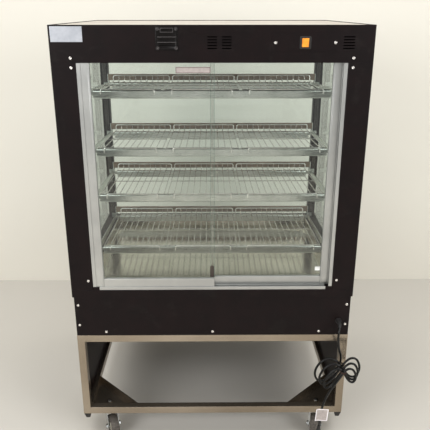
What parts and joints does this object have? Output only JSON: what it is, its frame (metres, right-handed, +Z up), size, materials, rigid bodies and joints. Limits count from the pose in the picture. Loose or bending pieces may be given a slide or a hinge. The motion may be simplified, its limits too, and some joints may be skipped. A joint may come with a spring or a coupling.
{
  "type": "ambient display case",
  "caption": "Upright glass display case with sliding service doors, sloping wire racks on hung frames, and a square-tube stand on swivel castors.",
  "frame": {"origin": "on the floor under the middle of the case", "axes": "+X to the right as seen from the service side, -Y towards the service side, +Z up"},
  "size_m": [0.9362, 0.8576, 1.385],
  "materials": {
    "black_coat": "fine satin black powder coat",
    "bright_steel": "bright stainless sheet",
    "stand_steel": "brushed stainless square tube",
    "shelf_steel": "satin stainless, folded",
    "rack_wire": "bright chromed wire",
    "satin_aluminium": "satin anodised extrusion",
    "bronze_coat": "bronze-brown anodised strip",
    "clear_glass": "clear toughened float glass",
    "diffuser": "opal diffuser",
    "black_plastic": "moulded black plastic",
    "brown_plastic": "moulded dark brown plastic",
    "amber_plastic": "translucent amber plastic",
    "castor_steel": "zinc-plated pressed steel",
    "castor_tyre": "grey rubber",
    "cord_sheath": "black flexible cable sheath",
    "tag_card": "white coated card"
  },
  "bodies": {
    "case": {"base_shell": "black_coat", "plinth_panel": "black_coat", "deck_tray": "bright_steel", "service_posts": "black_coat", "customer_posts": "black_coat", "side_glass": "clear_glass", "customer_glass": "clear_glass", "header_shell": "black_coat", "header_lid": "bright_steel", "header_ceiling": "black_coat", "light_strip": "diffuser", "switch_panel": "black_coat", "switch_bezel": "black_plastic", "fan_guard": "black_plastic", "door_tracks": "satin_aluminium", "side_channels": "satin_aluminium", "pilasters": "shelf_steel", "shelf_1_frame": "shelf_steel", "shelf_2_frame": "shelf_steel", "shelf_3_frame": "shelf_steel", "shelf_4_frame": "shelf_steel", "ticket_rails": "bronze_coat", "stand_frame": "stand_steel", "leg_plugs": "black_plastic", "screws_and_bolts": "bright_steel", "cord_gland": "black_plastic", "cord_drop": "cord_sheath", "cord_hank": "cord_sheath", "cord_tie": "black_plastic", "cord_tail": "cord_sheath", "mains_plug": "black_plastic", "cord_tag": "tag_card"},
    "left_door": {"left_door_stile": "satin_aluminium", "left_door_bottom_rail": "satin_aluminium", "left_door_glass": "clear_glass", "meeting_block": "brown_plastic"},
    "right_door": {"right_door_stile": "satin_aluminium", "right_door_bottom_rail": "satin_aluminium", "right_door_glass": "clear_glass"},
    "rocker": {"switch_rocker": "amber_plastic"},
    "front_left_fork": {"castor_front_left_fork": "castor_steel"},
    "front_left_wheel": {"castor_front_left_wheel": "castor_tyre"},
    "front_right_fork": {"castor_front_right_fork": "castor_steel"},
    "front_right_wheel": {"castor_front_right_wheel": "castor_tyre"},
    "rear_left_fork": {"castor_rear_left_fork": "castor_steel"},
    "rear_left_wheel": {"castor_rear_left_wheel": "castor_tyre"},
    "rear_right_fork": {"castor_rear_right_fork": "castor_steel"},
    "rear_right_wheel": {"castor_rear_right_wheel": "castor_tyre"},
    "rack_1_left": {"shelf_1_rack_left": "rack_wire"},
    "rack_1_middle": {"shelf_1_rack_middle": "rack_wire"},
    "rack_1_right": {"shelf_1_rack_right": "rack_wire"},
    "rack_2_left": {"shelf_2_rack_left": "rack_wire"},
    "rack_2_middle": {"shelf_2_rack_middle": "rack_wire"},
    "rack_2_right": {"shelf_2_rack_right": "rack_wire"},
    "rack_3_left": {"shelf_3_rack_left": "rack_wire"},
    "rack_3_middle": {"shelf_3_rack_middle": "rack_wire"},
    "rack_3_right": {"shelf_3_rack_right": "rack_wire"},
    "rack_4_left": {"shelf_4_rack_left": "rack_wire"},
    "rack_4_middle": {"shelf_4_rack_middle": "rack_wire"},
    "rack_4_right": {"shelf_4_rack_right": "rack_wire"}
  },
  "joints": [
    {"name": "left_door_slide", "type": "slide", "parent": "case", "child": "left_door", "axis": [1, 0, 0], "range_m": [0, 0.36]},
    {"name": "right_door_slide", "type": "slide", "parent": "case", "child": "right_door", "axis": [-1, 0, 0], "range_m": [0, 0.36]},
    {"name": "rocker_tilt", "type": "hinge", "parent": "case", "child": "rocker", "pos_m": [0.257, -0.371, 1.338], "axis": [1, 0, 0], "range_deg": [-12, 0]},
    {"name": "front_left_swivel", "type": "hinge", "parent": "case", "child": "front_left_fork", "pos_m": [-0.366, -0.312, 0.1], "axis": [0, 0, 1], "continuous": true},
    {"name": "front_left_spin", "type": "hinge", "parent": "front_left_fork", "child": "front_left_wheel", "pos_m": [-0.3529, -0.3401, 0.0375], "axis": [0.9063, 0.4226, 0], "continuous": true},
    {"name": "front_right_swivel", "type": "hinge", "parent": "case", "child": "front_right_fork", "pos_m": [0.366, -0.312, 0.1], "axis": [0, 0, 1], "continuous": true},
    {"name": "front_right_spin", "type": "hinge", "parent": "front_right_fork", "child": "front_right_wheel", "pos_m": [0.35956, -0.34232, 0.0375], "axis": [0.9781, -0.2079, 0], "continuous": true},
    {"name": "rear_left_swivel", "type": "hinge", "parent": "case", "child": "rear_left_fork", "pos_m": [-0.366, 0.312, 0.1], "axis": [0, 0, 1], "continuous": true},
    {"name": "rear_left_spin", "type": "hinge", "parent": "rear_left_fork", "child": "rear_left_wheel", "pos_m": [-0.3554, 0.34113, 0.0375], "axis": [-0.9397, 0.342, 0], "continuous": true},
    {"name": "rear_right_swivel", "type": "hinge", "parent": "case", "child": "rear_right_fork", "pos_m": [0.366, 0.312, 0.1], "axis": [0, 0, 1], "continuous": true},
    {"name": "rear_right_spin", "type": "hinge", "parent": "rear_right_fork", "child": "rear_right_wheel", "pos_m": [0.3529, 0.3401, 0.0375], "axis": [-0.9063, -0.4226, 0], "continuous": true},
    {"name": "rack_1_left_lift", "type": "slide", "parent": "case", "child": "rack_1_left", "axis": [0, 0, 1], "range_m": [0, 0.04]},
    {"name": "rack_1_middle_lift", "type": "slide", "parent": "case", "child": "rack_1_middle", "axis": [0, 0, 1], "range_m": [0, 0.04]},
    {"name": "rack_1_right_lift", "type": "slide", "parent": "case", "child": "rack_1_right", "axis": [0, 0, 1], "range_m": [0, 0.04]},
    {"name": "rack_2_left_lift", "type": "slide", "parent": "case", "child": "rack_2_left", "axis": [0, 0, 1], "range_m": [0, 0.04]},
    {"name": "rack_2_middle_lift", "type": "slide", "parent": "case", "child": "rack_2_middle", "axis": [0, 0, 1], "range_m": [0, 0.04]},
    {"name": "rack_2_right_lift", "type": "slide", "parent": "case", "child": "rack_2_right", "axis": [0, 0, 1], "range_m": [0, 0.04]},
    {"name": "rack_3_left_lift", "type": "slide", "parent": "case", "child": "rack_3_left", "axis": [0, 0, 1], "range_m": [0, 0.04]},
    {"name": "rack_3_middle_lift", "type": "slide", "parent": "case", "child": "rack_3_middle", "axis": [0, 0, 1], "range_m": [0, 0.04]},
    {"name": "rack_3_right_lift", "type": "slide", "parent": "case", "child": "rack_3_right", "axis": [0, 0, 1], "range_m": [0, 0.04]},
    {"name": "rack_4_left_lift", "type": "slide", "parent": "case", "child": "rack_4_left", "axis": [0, 0, 1], "range_m": [0, 0.04]},
    {"name": "rack_4_middle_lift", "type": "slide", "parent": "case", "child": "rack_4_middle", "axis": [0, 0, 1], "range_m": [0, 0.04]},
    {"name": "rack_4_right_lift", "type": "slide", "parent": "case", "child": "rack_4_right", "axis": [0, 0, 1], "range_m": [0, 0.04]}
  ]
}
